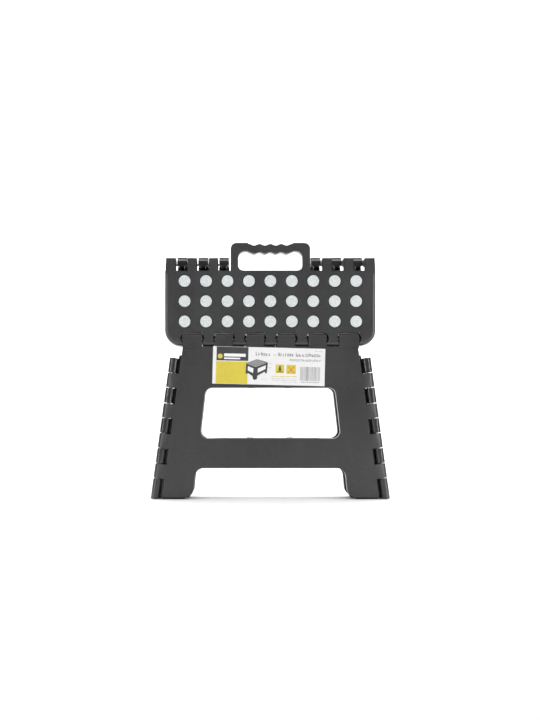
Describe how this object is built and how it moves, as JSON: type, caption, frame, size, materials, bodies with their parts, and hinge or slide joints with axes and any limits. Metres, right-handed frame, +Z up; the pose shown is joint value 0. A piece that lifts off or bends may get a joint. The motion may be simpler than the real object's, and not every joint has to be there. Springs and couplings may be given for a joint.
{
  "type": "folding step stool",
  "caption": "Moulded plastic step stool that folds flat, with a carry handle in the seat and light anti-slip dots; modelled folded and standing upright.",
  "frame": {"origin": "on the floor, midway between the feet of the folded stool", "axes": "+Z up, -Y the front face with the label, +X to the right seen from the front"},
  "size_m": [0.33, 0.0458, 0.352],
  "materials": {
    "body_plastic": "charcoal moulded plastic with a fine grain",
    "anti_slip": "light grey soft plastic with a fine speckle",
    "hinge_rod": "plain drawn wire",
    "foot_rubber": "black matt rubber",
    "label_paper": "satin printed paper"
  },
  "bodies": {
    "front_leg": {"leg_panel_front": "body_plastic", "paper_label": "label_paper", "foot_pad_left_front": "foot_rubber", "foot_pad_right_front": "foot_rubber", "corner_rod_left_front": "hinge_rod", "corner_rod_right_front": "hinge_rod", "seat_rod_front": "hinge_rod"},
    "rear_leg": {"leg_panel_rear": "body_plastic", "foot_pad_left_rear": "foot_rubber", "foot_pad_right_rear": "foot_rubber", "corner_rod_left_rear": "hinge_rod", "corner_rod_right_rear": "hinge_rod", "seat_rod_rear": "hinge_rod"},
    "seat_front": {"seat_front": "body_plastic", "front_dots_upper": "anti_slip", "front_dots_middle": "anti_slip", "front_dots_lower": "anti_slip", "centre_rod_left": "hinge_rod", "centre_rod_right": "hinge_rod"},
    "seat_rear": {"seat_rear": "body_plastic", "rear_dots_upper_left": "anti_slip", "rear_dots_upper_right": "anti_slip", "rear_dots_middle": "anti_slip", "rear_dots_lower": "anti_slip"},
    "side_left_front": {"side_left_front": "body_plastic", "side_rod_left_upper": "hinge_rod", "side_rod_left_lower": "hinge_rod"},
    "side_left_rear": {"side_left_rear": "body_plastic"},
    "side_right_front": {"side_right_front": "body_plastic", "side_rod_right_upper": "hinge_rod", "side_rod_right_lower": "hinge_rod"},
    "side_right_rear": {"side_right_rear": "body_plastic"}
  },
  "joints": [
    {"name": "fold", "type": "hinge", "parent": "front_leg", "child": "side_left_front", "pos_m": [-0.12888, -0.0125, 0.2197], "axis": [0.1349, 0.0131, 0.9908], "range_deg": [0, 90.82]},
    {"name": "middle_hinge_left", "type": "hinge", "parent": "side_left_front", "child": "side_left_rear", "pos_m": [-0.02405, 0, 0.2197], "axis": [-0.0254, 0, -0.9997], "range_deg": [0, 179.97]},
    {"name": "corner_hinge_left_rear", "type": "hinge", "parent": "side_left_rear", "child": "rear_leg", "pos_m": [-0.12888, 0.0125, 0.2197], "axis": [0.1349, -0.0131, 0.9908], "range_deg": [0, 90.83]},
    {"name": "seat_hinge_rear", "type": "hinge", "parent": "rear_leg", "child": "seat_rear", "pos_m": [0, 0.0125, 0.2197], "axis": [1, 0, 0], "range_deg": [0, 84.4]},
    {"name": "seat_hinge_front", "type": "hinge", "parent": "front_leg", "child": "seat_front", "pos_m": [0, -0.0125, 0.2197], "axis": [-1, 0, 0], "range_deg": [0, 84.4]},
    {"name": "corner_hinge_right_front", "type": "hinge", "parent": "front_leg", "child": "side_right_front", "pos_m": [0.12888, -0.0125, 0.2197], "axis": [0.1349, -0.0131, -0.9908], "range_deg": [0, 90.83]},
    {"name": "corner_hinge_right_rear", "type": "hinge", "parent": "rear_leg", "child": "side_right_rear", "pos_m": [0.12888, 0.0125, 0.2197], "axis": [-0.1349, -0.0131, 0.9908], "range_deg": [0, 90.83]}
  ],
  "couplings": [
    {"joint": "middle_hinge_left", "follows": "fold", "ratio": 1.9815},
    {"joint": "corner_hinge_left_rear", "follows": "fold", "ratio": 1},
    {"joint": "seat_hinge_rear", "follows": "fold", "ratio": 0.92913},
    {"joint": "seat_hinge_front", "follows": "fold", "ratio": 0.92913},
    {"joint": "corner_hinge_right_front", "follows": "fold", "ratio": 1},
    {"joint": "corner_hinge_right_rear", "follows": "fold", "ratio": 1}
  ]
}
